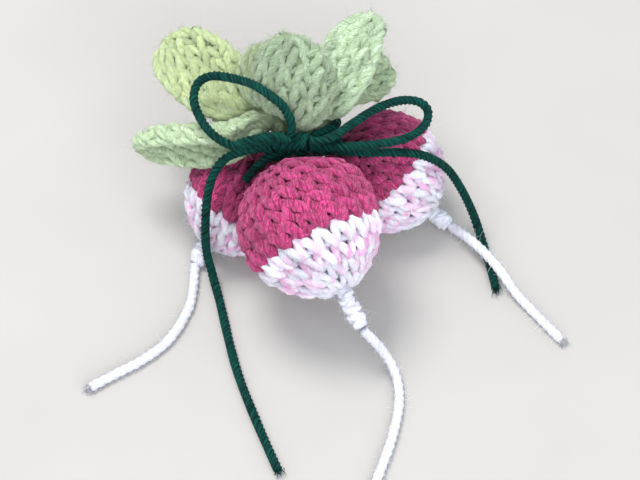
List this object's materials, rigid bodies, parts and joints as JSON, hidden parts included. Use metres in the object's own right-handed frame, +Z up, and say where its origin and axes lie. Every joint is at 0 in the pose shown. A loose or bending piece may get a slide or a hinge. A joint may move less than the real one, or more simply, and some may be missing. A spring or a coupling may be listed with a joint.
{
  "type": "crocheted radish bunch",
  "caption": "Small stuffed crochet radishes lying in a heap, tied round their leaf bases with a yarn bow; play food or ornament",
  "frame": {"origin": "middle of the underside of the box round the bunch without its loose yarn, on the surface it lies on", "axes": "+Z up, -Y towards the root ends and the viewer, +Y towards the leaf tips, +X to the viewer's right"},
  "size_m": [0.1223, 0.119, 0.0617],
  "materials": {
    "magenta_yarn": "matt magenta plied yarn in single crochet, with a short fuzz",
    "white_yarn": "matt white plied yarn, tinted pink in the rounds next to the magenta",
    "leaf_yarn": "matt pale green fuzzy yarn in crochet rows",
    "green_yarn": "dark bluish green smooth plied yarn with a clear twist",
    "fibre_fill": "loose white fibre filling"
  },
  "bodies": {
    "root": {"front_crown_fabric": "magenta_yarn", "front_root_fabric": "white_yarn", "front_stuffing": "fibre_fill", "front_root_tail": "white_yarn", "front_leaf_a": "leaf_yarn", "front_leaf_b": "leaf_yarn", "left_crown_fabric": "magenta_yarn", "left_root_fabric": "white_yarn", "left_stuffing": "fibre_fill", "left_root_tail": "white_yarn", "left_leaf_a": "leaf_yarn", "left_leaf_b": "leaf_yarn", "right_crown_fabric": "magenta_yarn", "right_root_fabric": "white_yarn", "right_stuffing": "fibre_fill", "right_root_tail": "white_yarn", "right_leaf_a": "leaf_yarn", "right_leaf_b": "leaf_yarn", "tie_wrap": "green_yarn", "tie_knot": "green_yarn", "bow_loop_left": "green_yarn", "bow_loop_right": "green_yarn", "bow_tail_left": "green_yarn", "bow_tail_right": "green_yarn"}
  },
  "joints": []
}
